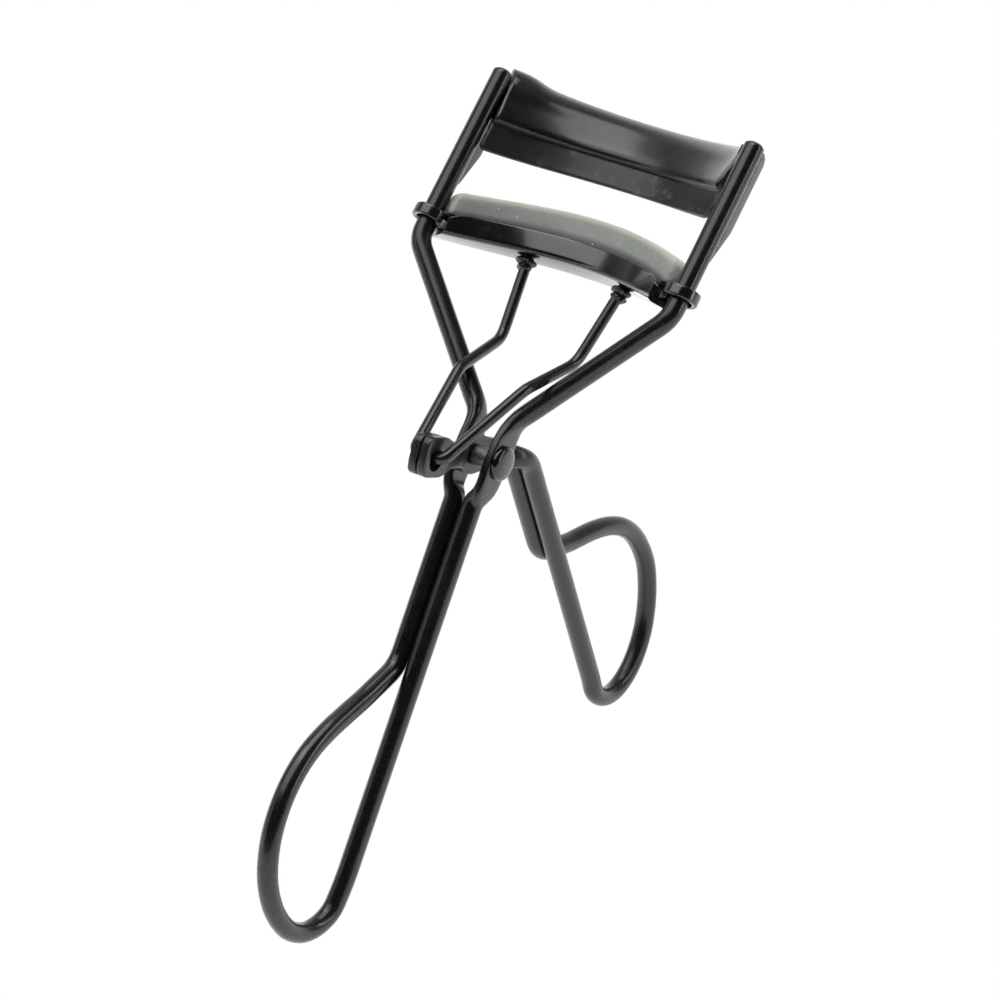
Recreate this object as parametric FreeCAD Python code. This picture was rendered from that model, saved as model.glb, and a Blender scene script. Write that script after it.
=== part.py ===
import FreeCAD, Part
import math
import os

# Eyelash curler: a bent-wire frame with an upper jaw, a squeeze handle of the same
# wire on a riveted pivot, and a lower jaw with a soft pad that two push rods carry
# up the frame's straight rails.
#
# Modelling axes, in mm: X across the jaws, Y away from the eye, Z up along the rails,
# zero midway between the two guide eyelets. "Near" and "right" are +X, "far" and "left"
# are -X. On export every piece is shifted so the hinge rivet's centre is the origin.

Vector = FreeCAD.Vector
X_AXIS = Vector(1, 0, 0)
SIDES = (1, -1)
COS_45 = math.sqrt(0.5)

# ---------------------------------------------------------------- shared sizes
WIRE_R = 2.5 / 2         # main wire
ROOT_R = WIRE_R + 0.015  # pressed sections end just proud of the round wire
STEM_X = 1.32            # side-by-side stems of each handle, from the middle
RAIL_X = 18.03           # rail centre from the middle
HINGE = Vector(0, 5.8, -24.8)
BORE_X = 4.0             # holes along X are bored from -BORE_X to BORE_X

# Handle loops: of the 18 points, arcs join these; the rest only steer the tangents
LOOP_KNOTS = [0, 1, 2, 3, 5, 7, 9, 11, 13, 15, 17]

# Frame
RAIL_TOP = 20.5
RAIL_BEND_Z = -3.2       # where the rail turns into the arm
RAIL_BEND_R = 3.4
ARM_END = Vector(3.35, 4.72, -19.0)
EAR_IN = 1.70            # inner face of each ear from the middle
EAR_T = 1.20
EAR_W = 4.5
EAR_X = EAR_IN + EAR_T / 2
STEM_DIR = Vector(0, 12.3, -44.9).normalize()   # the fixed handle leans back
STEM_TOP = Vector(STEM_X, 7.50, -33.1)
STEM_OVERLAP = 0.35      # the loop starts this far up inside the pressed section
STEM_BOTTOM_Z = -74.6    # where the near stem runs into the loop
STEM_JOIN_Z = -50.86     # where the loop comes back to the far stem
JOIN_BEND_R = 3.0        # that bend, on both handles

# Rivet and spacer
RIVET_R = 2.1 / 2
EAR_HOLE_GAP = 0.02      # radial gaps round the shank
SPACER_HOLE_GAP = 0.04
LEVER_HOLE_GAP = 0.06
HEAD_GAP = 0.01          # between ear and head
SHANK_OVERLAP = 0.05     # shank runs this far into each head
SPACER_R = 2.55 / 2      # sleeve between the lever and the near ear
SPACER_GAP = 0.02        # at each end of the spacer

# Lever: the flat front part of the squeeze handle
LEVER_FAR = -1.66        # x of the far strap's outer face
STRAP_FRONT_T = 1.20     # strap thickness at the hook end
STRAP_BOSS_T = 0.45      # and where the rivet goes through
STRAP_SEAM = 0.05        # gap between the two pressed straps
STRAP_HALF_H = 4.9 / 2
HOOK_PLATE_D = 9.2       # the hook plate is full height beyond this distance
WAIST_D = 7.3            # end of the narrow stretch
WAIST_H = 1.45           # and its half height
WAIST_OVERLAP = 0.2
BOSS_R = 2.55            # round boss at the rivet
LEVER_DROP = math.radians(23.8)   # lever falls towards its hook end
HOOK_R = 11.15           # hinge to hook
HOOK_HOLE_R = 2.7 / 2
LEVER_END = 13.3         # hinge to the lever's front end
LEVER_DIR = Vector(0, -math.cos(LEVER_DROP), -math.sin(LEVER_DROP))  # hinge to hook
LEVER_UP = Vector(0, -math.sin(LEVER_DROP), math.cos(LEVER_DROP))
HOOK = HINGE + LEVER_DIR * HOOK_R

# Squeeze handle's round wire
SQUEEZE_DIR = Vector(0, 35.56, -13.38).normalize()
SQUEEZE_TOP = Vector(STEM_X, 18.6, -22.85)
SQUEEZE_STEM_L = 37.2    # from there to the loop, on the near side
SQUEEZE_JOIN_L = 13.8    # and to where the loop comes back, on the far side
SHOULDER_Z = -21.39      # level wire just behind the lever
SHOULDER_START_Y = 14.05
SHOULDER_BEND_R = 2.6

# Jaws: profiles swept about a vertical axis; heights fall by arch * x^2
JAW_R = 22.3             # plan radius on the pad's centre line
JAW_AXIS = Vector(0, 7.55 - JAW_R, 0)
JAW_STATIONS = 13
JAW_END = 16.35          # half-widths of the upper jaw, channel and pad
CHANNEL_END = 15.6
PAD_END = 16.3
LIP_Z = 12.75            # lower edge of the press lip at the middle
LIP_ARCH = 0.0098
CREASE_Z = 16.1
CREASE_ARCH = 0.0078
PANEL_TOP = 22.3
PANEL_ARCH = 0.0052
RAIL_BORE_R = WIRE_R + 0.015      # rail grooves in the upper jaw
FLANGE_T = 1.05          # end flanges of the upper jaw
FLANGE_Y = 3.3
CHANNEL_HALF_W = 4.6 / 2
CHANNEL_T = 0.6
CHANNEL_BOTTOM = 1.3     # underside at the middle
CHANNEL_TOP = 4.28       # top of its walls at the middle
CHANNEL_ARCH = 0.0126
EYE_R = 4.5 / 2
EYE_BORE_R = 3.05 / 2
EYE_H = 1.5
PAD_TOP = 8.15
PAD_HALF_W = 3.05 / 2
PAD_ARCH = 0.0155
PAD_GAP = 0.03           # between pad and channel floor
PAD_EYE_GAP = 0.12

# Push rods
ROD_R = 1.4 / 2
ROD_TOP = Vector(6.89, 6.49, 0.58)   # where a rod meets the channel
ROD_BENDS = [3.2, 3.4, 0.95]
ROD_LEVER_GAP = 0.16
LEVER_NEAR = 0.80        # near face of the lever at the hook, for the right rod
COLLAR_R = 1.22
COLLAR_SQUASH = 0.76     # height over width
COLLAR_Z = -0.42


# ------------------------------------------------------------------- small tools
def unit(vector):
    return vector * (1.0 / vector.Length)


def mirrored(point):
    return Vector(-point.x, point.y, point.z)


def line(start, end):
    return Part.LineSegment(start, end).toShape()


def arc(start, middle, end):
    return Part.Arc(start, middle, end).toShape()


def polygon(points):
    return Part.makePolygon(points + [points[0]])


def prism(points, direction):
    return Part.Face(polygon(points)).extrude(direction)


def x_cylinder(x_start, x_end, centre, radius):
    base = Vector(x_start, centre.y, centre.z)
    return Part.makeCylinder(radius, x_end - x_start, base, X_AXIS)


def rail_cylinder(side, radius, height, z):
    """upright cylinder on the axis of one rail, standing on z"""
    return Part.makeCylinder(radius, height, Vector(side * RAIL_X, 0, z))


def solid(shape):
    """the bare solid where a boolean wraps a single one in a compound"""
    if shape.ShapeType != "Solid" and len(shape.Solids) == 1:
        return shape.Solids[0]
    return shape


def rounded_section(centre, normal, half_x, half_across, radius):
    """rounded rectangle square to normal; half_x lies along X as nearly as it can"""
    normal = unit(normal)
    along = unit(X_AXIS - normal * X_AXIS.dot(normal))
    across = normal.cross(along)
    # keep a sliver of straight between the corner arcs
    radius = min(radius, half_x - 0.012, half_across - 0.012)
    inset = radius * (1 - COS_45)
    corners = []
    for i, (sx, sy) in enumerate([(1, 1), (-1, 1), (-1, -1), (1, -1)]):
        offsets = [
            (half_x, half_across - radius),
            (half_x - inset, half_across - inset),
            (half_x - radius, half_across),
        ]
        corner = [centre + along * (sx * x) + across * (sy * y) for x, y in offsets]
        corners.append(corner if i % 2 == 0 else corner[::-1])
    edges = []
    for i, corner in enumerate(corners):
        edges.append(arc(*corner))
        edges.append(line(corner[2], corners[(i + 1) % 4][0]))
    return Part.Wire(edges)


def loft(wires):
    return Part.makeLoft(wires, True, False, False)


def bends(corners, radii):
    """edges of a bent wire's centre line: straight runs and arcs"""
    edges = []
    last = corners[0]
    for before, corner, after, radius in zip(corners, corners[1:], corners[2:], radii):
        back, ahead = unit(before - corner), unit(after - corner)
        half_angle = back.getAngle(ahead) / 2
        setback = radius / math.tan(half_angle)
        start, end = corner + back * setback, corner + ahead * setback
        bisector = unit(back + ahead)
        centre = corner + bisector * (radius / math.sin(half_angle))
        if (start - last).Length > 1e-6:
            edges.append(line(last, start))
        edges.append(arc(start, centre - bisector * radius, end))
        last = end
    edges.append(line(last, corners[-1]))
    return edges


def tangent_arc(start, direction, end):
    """arc that leaves start along direction, or a line if end lies straight ahead"""
    chord = end - start
    sideways = chord - direction * chord.dot(direction)
    if sideways.Length < 1e-4 * chord.Length:
        return line(start, end)
    normal = unit(sideways)
    radius = chord.dot(chord) / (2 * chord.dot(normal))
    centre = start + normal * radius
    middle = centre + unit((start + end) * 0.5 - centre) * radius
    return arc(start, middle, end)


def smooth_arcs(points, first_dir, last_dir, knots):
    """tangent arcs through the knots, two between neighbours"""
    tangents = [unit(first_dir)]
    for before, here, after in zip(points, points[1:], points[2:]):
        back, ahead = here - before, after - here
        blend = back * (ahead.Length / back.Length) + ahead * (back.Length / ahead.Length)
        tangents.append(unit(blend))
    tangents.append(unit(last_dir))

    edges = []
    for i, j in zip(knots[:-1], knots[1:]):
        start, end = points[i], points[j]
        start_dir, end_dir = tangents[i], tangents[j]
        chord = end - start
        # equal control lengths at both ends set the point where the two arcs meet
        spread = 2 * (1 - start_dir.dot(end_dir))
        along = chord.dot(start_dir + end_dir)
        if spread < 1e-6:
            reach = chord.dot(chord) / (4 * chord.dot(end_dir))
        else:
            root = math.sqrt(along * along + spread * chord.dot(chord))
            reach = (root - along) / spread
        meet = (start + end + (start_dir - end_dir) * reach) * 0.5
        meet_dir = unit((end - end_dir * reach) - (start + start_dir * reach))
        edges.append(tangent_arc(start, start_dir, meet))
        edges.append(tangent_arc(meet, meet_dir, end))
    return edges


def pipe(edges, radius):
    """round wire along the edges"""
    spine = Part.Wire(edges)
    first = spine.OrderedEdges[0]
    tangent = first.tangentAt(first.FirstParameter)
    start = first.valueAt(first.FirstParameter)
    # the first edge may run backwards along the spine
    if (start - spine.OrderedVertexes[0].Point).Length > 1e-5:
        tangent = first.tangentAt(first.LastParameter) * -1
        start = first.valueAt(first.LastParameter)
    section = Part.Wire([Part.Circle(start, tangent, radius).toShape()])
    return spine.makePipeShell([section], True, False, 1)


# --------------------------------------------------------- fixed frame, one wire
# x, y, z round the bottom, from the near stem to the far one
FIXED_LOOP = [
    (1.27, 19.55, -77.6), (1.18, 19.85, -79.9), (1.00, 18.95, -82.1), (0.78, 17.1, -83.8),
    (0.52, 14.4, -84.6), (0.24, 11.2, -84.2), (0.02, 8.2, -82.95), (-0.16, 5.65, -81.1),
    (-0.30, 3.75, -78.9), (-0.44, 2.42, -76.5), (-0.58, 1.65, -73.9), (-0.72, 1.38, -71.2),
    (-0.86, 1.66, -68.4), (-0.98, 2.55, -65.5), (-1.08, 4.1, -62.7), (-1.17, 6.4, -59.5),
    (-1.25, 8.9, -56.15),
]


def frame_side(side):
    """one rail with its arm, and the flattened ear below it"""
    def at(x, y, z):
        return Vector(side * x, y, z)

    corner = at(RAIL_X, 0, RAIL_BEND_Z)
    end = at(*ARM_END)
    rail = pipe(bends([at(RAIL_X, 0, RAIL_TOP), corner, end], [RAIL_BEND_R]), WIRE_R)
    arm_dir = unit(end - corner)
    ear_dir = Vector(0, 0.155, -1)
    half_t, half_w = EAR_T / 2, EAR_W / 2
    stem_y, stem_z = STEM_TOP.y, STEM_TOP.z
    # centre, normal, half size in X, half size across, corner radius
    sections = [
        (end - arm_dir * 0.5, arm_dir, ROOT_R, ROOT_R, WIRE_R),
        (end + arm_dir * 0.1, arm_dir, ROOT_R, ROOT_R, WIRE_R),
        (at(2.62, 5.04, -20.25), arm_dir + Vector(0, 0.02, -0.3), 0.95, 1.60, 0.9),
        (at(EAR_X + 0.06, 5.32, -21.6), at(-0.12, 0.16, -1), half_t + 0.05, half_w - 0.2, 0.4),
        (at(EAR_X, 5.52, -22.8), ear_dir, half_t, half_w - 0.03, 0.3),
        (at(EAR_X, HINGE.y, HINGE.z), ear_dir, half_t, half_w, 0.3),
        (at(EAR_X, 6.12, -26.9), ear_dir, half_t, half_w - 0.3, 0.3),
        (at(EAR_X - 0.10, 6.45, -28.7), at(-0.12, 0.19, -1), half_t + 0.1, 1.62, 0.5),
        (at(STEM_X + 0.45, 6.78, -30.2), at(-0.28, 0.24, -1), 0.98, 1.36, 0.9),
        (at(STEM_X + 0.10, 7.12, -31.7), at(-0.12, 0.26, -1), 1.2, 1.28, 1.18),
        (at(STEM_X, stem_y - 0.16, stem_z + 0.6), STEM_DIR, ROOT_R, ROOT_R, WIRE_R),
        (at(STEM_X, stem_y, stem_z), STEM_DIR, ROOT_R, ROOT_R, WIRE_R),
    ]
    ear = loft([rounded_section(*section) for section in sections])
    return rail, ear


def fixed_loop():
    """both stems of the fixed handle and the loop that joins them"""
    def stem_at(z):
        return STEM_TOP + STEM_DIR * ((z - STEM_TOP.z) / STEM_DIR.z)

    top = STEM_TOP - STEM_DIR * STEM_OVERLAP
    bottom = stem_at(STEM_BOTTOM_Z)
    join = mirrored(stem_at(STEM_JOIN_Z))
    loop = [bottom] + [Vector(*point) for point in FIXED_LOOP]
    edges = [line(top, bottom)]
    edges += smooth_arcs(loop, STEM_DIR, join - loop[-1], LOOP_KNOTS)
    edges += bends([loop[-1], join, mirrored(top)], [JOIN_BEND_R])
    return pipe(edges, WIRE_R)


def build_frame():
    near_rail, near_ear = frame_side(1)
    far_rail, far_ear = frame_side(-1)
    frame = near_rail.fuse([near_ear, fixed_loop(), far_ear, far_rail])
    # the inner faces of the ears are flat and parallel
    frame = frame.cut(Part.makeBox(2 * EAR_IN, 12, 8.6, Vector(-EAR_IN, 0, -29.2)))
    frame = frame.cut(x_cylinder(-BORE_X, BORE_X, HINGE, RIVET_R + EAR_HOLE_GAP))
    return solid(frame)


# ------------------------------------------------------- squeeze handle, one wire
# distance from the hinge towards the hook, thickness of one strap
STRAP_THICKNESS = [
    (-4.0, STRAP_BOSS_T), (2.7, STRAP_BOSS_T), (3.6, 0.84), (4.8, 1.0),
    (WAIST_D, 1.12), (8.3, STRAP_FRONT_T), (LEVER_END + 1, STRAP_FRONT_T),
]

# x, y, z round the back, from the near stem to the far one
SQUEEZE_LOOP = [
    (1.29, 56.0, -37.0), (1.22, 58.9, -36.7), (1.08, 61.1, -35.3), (0.94, 62.5, -33.2),
    (0.80, 63.15, -30.7), (0.64, 63.0, -28.0), (0.47, 62.2, -25.4), (0.30, 60.7, -22.95),
    (0.13, 58.6, -20.65), (-0.06, 55.8, -18.6), (-0.28, 52.5, -17.4), (-0.48, 49.2, -17.0),
    (-0.66, 46.3, -17.45), (-0.83, 43.6, -18.6), (-0.97, 41.0, -20.3), (-1.09, 38.6, -22.3),
    (-1.19, 36.4, -24.2),
]


def lever_point(distance, height, x=0.0):
    return HINGE + LEVER_DIR * distance + LEVER_UP * height + Vector(x, 0, 0)


def slab(wire):
    """side outline at x = 0, extruded wider than the lever"""
    face = Part.Face(wire)
    face.translate(Vector(-5, 0, 0))
    return face.extrude(Vector(10, 0, 0))


def lever_side_view():
    """hook plate, waist and round boss"""
    at = lever_point
    top, end = STRAP_HALF_H, LEVER_END
    start = WAIST_D - WAIST_OVERLAP
    upper_r, lower_r = 0.9, 1.3
    upper_x, upper_h = end - upper_r, top - upper_r
    lower_x, lower_h = end - lower_r, -top + lower_r
    hook_plate = slab(Part.Wire([
        line(at(start, WAIST_H), at(HOOK_PLATE_D, top)),
        line(at(HOOK_PLATE_D, top), at(upper_x, top)),
        arc(at(upper_x, top),
            at(upper_x + upper_r * COS_45, upper_h + upper_r * COS_45),
            at(end, upper_h)),
        line(at(end, upper_h), at(end, lower_h)),
        arc(at(end, lower_h),
            at(lower_x + lower_r * COS_45, lower_h - lower_r * COS_45),
            at(lower_x, -top)),
        line(at(lower_x, -top), at(HOOK_PLATE_D, -top)),
        line(at(HOOK_PLATE_D, -top), at(start, -WAIST_H)),
        line(at(start, -WAIST_H), at(start, WAIST_H)),
    ]))
    # distance, height
    waist_outline = [
        (-2.75, -2.0), (-2.75, 2.1), (0, 2.3), (2.0, WAIST_H), (WAIST_D, WAIST_H),
        (WAIST_D, -WAIST_H), (2.0, -WAIST_H), (0, -2.3),
    ]
    waist = slab(polygon([at(*point) for point in waist_outline]))
    boss = x_cylinder(-5, 5, HINGE, BOSS_R)
    return solid(hook_plate.fuse([waist, boss]).removeSplitter())


def strap_far_face(side, thickness):
    """x of a strap's far face; the near strap lies on the far one"""
    return LEVER_FAR + (thickness + STRAP_SEAM if side > 0 else 0)


def lever_strap(side):
    """flat strap: full thickness at the hook end, pressed thinner round the rivet"""
    far_edge = []
    near_edge = []
    for distance, thickness in STRAP_THICKNESS:
        x = strap_far_face(side, thickness)
        far_edge.append(lever_point(distance, -4.0, x))
        near_edge.append(lever_point(distance, -4.0, x + thickness))
    plan = prism(far_edge + near_edge[::-1], LEVER_UP * 8.0)
    return solid(lever_side_view().common(plan))


def shoulder(side):
    """transition from a strap's thin root to the round wire"""
    half_t = STRAP_BOSS_T / 2
    strap_x = strap_far_face(side, STRAP_BOSS_T) + half_t
    shift = side * STEM_X - strap_x
    # y, z, share of the shift from strap to stem, half size in X, half size across,
    # corner radius, slope in degrees
    sections = [
        (HINGE.y + 1.5, -24.15, 0, half_t - 0.004, 2.15, 0.12, 23.8),
        (8.30, -23.75, 0, half_t - 0.004, 2.12, 0.14, 24.5),
        (9.50, -23.12, 0.14, half_t + 0.05, 1.98, 0.25, 27.0),
        (10.80, -22.42, 0.50, half_t + 0.32, 1.70, 0.55, 27.0),
        (12.10, -21.83, 0.88, half_t + 0.68, 1.42, 0.95, 21.0),
        (13.20, -21.50, 1, 1.22, 1.27, 1.2, 12.0),
        (13.95, -21.40, 1, ROOT_R, ROOT_R, WIRE_R, 3.0),
        (14.40, SHOULDER_Z, 1, ROOT_R, ROOT_R, WIRE_R, 0.0),
    ]
    wires = []
    for y, z, share, half_x, half_across, radius, slope in sections:
        angle = math.radians(slope)
        normal = Vector(0, math.cos(angle), math.sin(angle))
        centre = Vector(strap_x + shift * share, y, z)
        wires.append(rounded_section(centre, normal, half_x, half_across, radius))
    return loft(wires)


def squeeze_loop():
    """both stems of the squeeze handle and the loop that joins them"""
    start = Vector(STEM_X, SHOULDER_START_Y, SHOULDER_Z)
    stem_end = SQUEEZE_TOP + SQUEEZE_DIR * SQUEEZE_STEM_L
    corner = stem_end - SQUEEZE_DIR * ((stem_end.z - SHOULDER_Z) / SQUEEZE_DIR.z)
    join = mirrored(SQUEEZE_TOP + SQUEEZE_DIR * SQUEEZE_JOIN_L)
    loop = [stem_end] + [Vector(*point) for point in SQUEEZE_LOOP]
    edges = bends([start, corner, stem_end], [SHOULDER_BEND_R])
    edges += smooth_arcs(loop, SQUEEZE_DIR, join - loop[-1], LOOP_KNOTS)
    edges += bends([loop[-1], join, mirrored(corner), mirrored(start)],
                   [JOIN_BEND_R, SHOULDER_BEND_R])
    return pipe(edges, WIRE_R)


def build_squeeze_handle():
    parts = []
    for side in SIDES:
        parts += [lever_strap(side), shoulder(side)]
    handle = squeeze_loop().fuse(parts)
    # the face that slides on the far ear is flat
    handle = handle.cut(Part.makeBox(3, 5.3, 8, Vector(LEVER_FAR - 3, 3.0, HINGE.z - 4)))
    handle = handle.cut(x_cylinder(-BORE_X, BORE_X, HINGE, RIVET_R + LEVER_HOLE_GAP))
    hook_hole = lever_point(HOOK_R - 0.05, -0.3)
    handle = handle.cut(x_cylinder(-BORE_X, BORE_X, hook_hole, HOOK_HOLE_R))
    return solid(handle)


# ------------------------------------------------------------ rivet and spacer
def rivet_head(side, radius, height, rim_radius):
    base_x = EAR_IN + EAR_T + HEAD_GAP
    base = Vector(side * base_x, HINGE.y, HINGE.z)
    head = Part.makeCylinder(radius, height, base, Vector(side, 0, 0))
    rim = [edge for edge in head.Edges
           if edge.Curve.TypeId == "Part::GeomCircle"
           and abs(edge.Curve.Center.x - side * (base_x + height)) < 1e-6]
    return head.makeFillet(rim_radius, rim)


def build_rivet():
    half_length = EAR_IN + EAR_T + HEAD_GAP + SHANK_OVERLAP
    shank = x_cylinder(-half_length, half_length, HINGE, RIVET_R)
    near_head = rivet_head(1, radius=2.15, height=0.85, rim_radius=0.62)
    far_head = rivet_head(-1, radius=1.75, height=0.55, rim_radius=0.35)
    return solid(shank.fuse([near_head, far_head]).removeSplitter())


def build_spacer():
    start = LEVER_FAR + 2 * STRAP_BOSS_T + STRAP_SEAM + SPACER_GAP
    sleeve = x_cylinder(start, EAR_IN - SPACER_GAP, HINGE, SPACER_R)
    bore = x_cylinder(start - 1, EAR_IN + 1, HINGE, RIVET_R + SPACER_HOLE_GAP)
    return solid(sleeve.cut(bore))


# ------------------------------------------------------------------------- jaws
# Profile points are (offset, z), the offset running outwards from radius JAW_R.
def swept(profile, half_width):
    """loft of the profile through radial planes, from -half_width to half_width"""
    wires = []
    for i in range(JAW_STATIONS):
        x = -half_width + 2 * half_width * i / (JAW_STATIONS - 1)
        sine = x / JAW_R
        outward = Vector(sine, math.sqrt(1 - sine * sine), 0)
        wires.append(polygon([JAW_AXIS + outward * (JAW_R + offset) + Vector(0, 0, z)
                              for offset, z in profile(x)]))
    return loft(wires)


def upper_jaw_profile(x):
    lip = LIP_Z - LIP_ARCH * x * x
    crease = CREASE_Z - CREASE_ARCH * x * x
    top = PANEL_TOP - PANEL_ARCH * x * x
    return [
        (-0.05, lip), (0.45, lip), (0.62, lip + 0.25), (0.62, crease - 0.25),
        (0.10, crease + 0.65), (0.75, top - 1.6), (1.35, top - 0.55), (1.95, top - 0.1),
        (1.75, top + 0.25), (0.95, top - 0.15), (0.20, top - 1.2), (-0.70, crease + 1.0),
        (-0.75, crease + 0.35), (-0.45, crease), (-0.12, crease - 0.3), (-0.12, lip + 0.1),
    ]


def channel_profile(x):
    bottom = CHANNEL_BOTTOM - CHANNEL_ARCH * x * x
    top = CHANNEL_TOP - CHANNEL_ARCH * x * x
    outer = CHANNEL_HALF_W
    inner = outer - CHANNEL_T
    floor = bottom + CHANNEL_T
    return [
        (-outer, top), (-outer, bottom + 0.75), (-outer + 0.22, bottom + 0.22),
        (-outer + 0.75, bottom), (outer - 0.75, bottom), (outer - 0.22, bottom + 0.22),
        (outer, bottom + 0.75), (outer, top), (inner, top), (inner, floor + 0.25),
        (inner - 0.25, floor), (-inner + 0.25, floor), (-inner, floor + 0.25), (-inner, top),
    ]


def pad_profile(x):
    bottom = CHANNEL_BOTTOM + CHANNEL_T + PAD_GAP - CHANNEL_ARCH * x * x
    top = PAD_TOP - PAD_ARCH * x * x
    half = PAD_HALF_W
    return [
        (-half, bottom + 0.4), (-half + 0.35, bottom), (half - 0.35, bottom),
        (half, bottom + 0.4), (half, top - 0.95), (half - 0.28, top - 0.38),
        (half - 0.85, top - 0.04), (-half + 0.85, top - 0.04), (-half + 0.28, top - 0.38),
        (-half, top - 0.95),
    ]


# y, z of the end flange, on the +Y side of the rail
FLANGE_OUTLINE = [
    (1.0, 5.4), (1.75, 5.25), (FLANGE_Y, 10.2), (FLANGE_Y, 19.4),
    (FLANGE_Y - 0.35, 20.2), (FLANGE_Y - 1.1, 20.5), (1.0, 20.5),
]
# distance from the middle, y of the web between panel and flange
WEB_OUTLINE = [(16.05, 0.35), (16.05, 1.25), (17.35, 2.3), (18.0, 2.3), (18.0, 1.3), (17.0, 1.1)]
# distance from the middle, y of the tab that carries the eyelet
TAB_OUTLINE = [(14.9, -1.35), (17.3, -1.35), (17.3, 1.9), (16.3, 2.35), (14.9, 2.0)]


def flat_piece(outline, side, z, height):
    """upright prism on a plan outline, mirrored to its side"""
    return prism([Vector(side * x, y, z) for x, y in outline], Vector(0, 0, height))


def build_upper_jaw():
    parts = []
    for side in SIDES:
        flange_x = side * RAIL_X - FLANGE_T / 2
        parts.append(prism([Vector(flange_x, y, z) for y, z in FLANGE_OUTLINE],
                           Vector(FLANGE_T, 0, 0)))
        parts.append(flat_piece(WEB_OUTLINE, side, 15.6, 4.8))
    jaw = swept(upper_jaw_profile, JAW_END).fuse(parts)
    for side in SIDES:
        jaw = jaw.cut(rail_cylinder(side, RAIL_BORE_R, 40, -10))
    return solid(jaw)


def build_channel():
    parts = []
    for side in SIDES:
        parts.append(rail_cylinder(side, EYE_R, EYE_H, -EYE_H / 2))
        parts.append(flat_piece(TAB_OUTLINE, side, -1.5, 1.2))
    channel = swept(channel_profile, CHANNEL_END).fuse(parts)
    for side in SIDES:
        channel = channel.cut(rail_cylinder(side, EYE_BORE_R, 8, -4))
    return solid(channel)


def build_pad():
    pad = swept(pad_profile, PAD_END)
    notch_x, notch_width = 14.7, 3.2
    for side in SIDES:
        pad = pad.cut(rail_cylinder(side, EYE_R + PAD_EYE_GAP, 6, -5.1))
        # clear of the tab that carries the eyelet
        corner_x = notch_x if side > 0 else -notch_x - notch_width
        pad = pad.cut(Part.makeBox(notch_width, 6, 3.0, Vector(corner_x, -2.2, -3.2)))
    return solid(pad)


# -------------------------------------------------------------------- push rods
def build_rod(side):
    lever_face = LEVER_NEAR if side > 0 else -LEVER_FAR
    tip_x = -0.35 if side > 0 else -0.50
    corners = [
        Vector(side * ROD_TOP.x, ROD_TOP.y, ROD_TOP.z),
        Vector(side * 5.43, 6.86, -9.89),
        Vector(side * 4.74, 0.14, -16.78),
        Vector(side * (lever_face + ROD_R + ROD_LEVER_GAP), HOOK.y, HOOK.z),
        Vector(tip_x, HOOK.y, HOOK.z),   # the tip turns into the lever's hook hole
    ]
    rod = pipe(bends(corners, ROD_BENDS), ROD_R)
    # flattened ball under the channel floor
    squash = FreeCAD.Matrix()
    squash.scale(1.0, 1.0, COLLAR_SQUASH)
    collar = Part.makeSphere(COLLAR_R).transformGeometry(squash)
    collar.translate(Vector(side * ROD_TOP.x, ROD_TOP.y, COLLAR_Z))
    return solid(rod.fuse(collar))


PARTS = {
    "frame_wire": build_frame(),
    "upper_jaw_plate": build_upper_jaw(),
    "hinge_rivet": build_rivet(),
    "hinge_spacer": build_spacer(),
    "squeeze_handle_wire": build_squeeze_handle(),
    "lower_jaw_channel": build_channel(),
    "lash_pad": build_pad(),
    "push_rod_left": build_rod(-1),
    "push_rod_right": build_rod(1),
}
os.makedirs("parts", exist_ok=True)
for name, part in PARTS.items():
    shape = part.copy()
    shape.translate(HINGE * -1)
    shape.exportStep("parts/" + name + ".step")
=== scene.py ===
"""Eyelash curler: two wire handles ending in loops, crossed by a rivet, and a curved jaw.

CAD frame: metres, zero at the rivet. X runs along the jaw, +X being "right"; the jaw is at
the top (+Z) and bulges towards +Y. The frame loop hangs down (-Z) and the squeeze handle's
loop reaches out to +Y. Its strap arms point to -Y and drive the lower jaw through two rods.
"""

import math

import bpy
import bmesh
import numpy as np
from mathutils import Matrix, Vector, noise


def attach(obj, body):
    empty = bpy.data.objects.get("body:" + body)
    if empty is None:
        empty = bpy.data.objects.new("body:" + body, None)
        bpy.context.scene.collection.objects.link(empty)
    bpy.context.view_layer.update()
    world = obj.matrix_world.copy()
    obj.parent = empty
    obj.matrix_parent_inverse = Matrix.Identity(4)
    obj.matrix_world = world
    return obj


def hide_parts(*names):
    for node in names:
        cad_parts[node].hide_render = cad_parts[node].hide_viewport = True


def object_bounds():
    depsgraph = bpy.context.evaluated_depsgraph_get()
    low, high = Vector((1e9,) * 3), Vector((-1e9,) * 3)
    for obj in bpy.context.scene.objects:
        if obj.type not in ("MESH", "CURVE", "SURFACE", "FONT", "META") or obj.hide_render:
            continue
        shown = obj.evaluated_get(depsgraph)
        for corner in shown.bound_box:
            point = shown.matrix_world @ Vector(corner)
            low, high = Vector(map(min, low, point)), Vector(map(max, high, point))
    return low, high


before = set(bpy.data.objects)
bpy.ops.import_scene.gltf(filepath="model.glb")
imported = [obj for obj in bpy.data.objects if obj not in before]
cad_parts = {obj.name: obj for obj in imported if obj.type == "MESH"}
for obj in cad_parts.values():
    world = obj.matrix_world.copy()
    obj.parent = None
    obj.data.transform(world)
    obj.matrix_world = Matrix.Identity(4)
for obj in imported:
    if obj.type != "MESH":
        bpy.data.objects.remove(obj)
CAD_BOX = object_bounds()


def vec(x, y, z):
    return np.array([x, y, z], float)


# Lengths are millimetres in a working frame whose zero is midway between the guide
# eyelets, unless a comment says metres.
HINGE = vec(0, 5.8, -24.8)
RAIL_X = 18.03                  # rails, jaw flanges and guide eyelets
STEM_X = 1.32                   # each handle's two stems run side by side at +-this
SIDES = (("right", 1), ("left", -1))


def to_cad(points):
    return (np.asarray(points, float) - HINGE) * 0.001


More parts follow.
